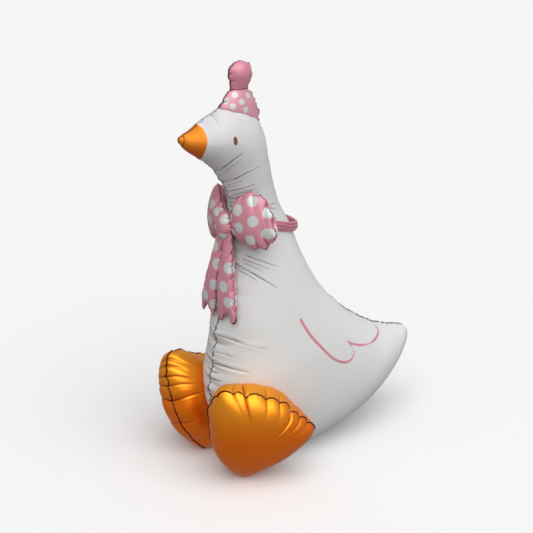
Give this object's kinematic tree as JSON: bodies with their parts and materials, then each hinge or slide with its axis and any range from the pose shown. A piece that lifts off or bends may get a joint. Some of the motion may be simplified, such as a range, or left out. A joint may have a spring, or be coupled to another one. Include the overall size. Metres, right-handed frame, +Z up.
{
  "type": "standing goose foil balloon",
  "caption": "Standing foil balloon of a white goose with an orange bill, orange webbed feet, a pink party hat and a polka-dot bow round its neck.",
  "frame": {"origin": "on the floor, in the middle of the footprint's bounding box", "axes": "+Z up to the pompom of the hat; the goose faces -Y; its left side is +X, so X = 0 is the plane of its seam"},
  "size_m": [0.4322, 0.703, 1],
  "materials": {
    "white_foil": "satin white metallised film, with the bill, eyes and wing lines printed on it",
    "orange_foil": "bright metallic orange film",
    "pink_foil": "satin pink film with printed white dots on the hat and the bow"
  },
  "bodies": {
    "root": {"goose_body": "white_foil", "foot_left": "orange_foil", "foot_right": "orange_foil", "party_hat": "pink_foil", "neck_band": "pink_foil", "bow_loops": "pink_foil", "bow_knot": "pink_foil", "bow_tail_left": "pink_foil", "bow_tail_right": "pink_foil"}
  },
  "joints": []
}
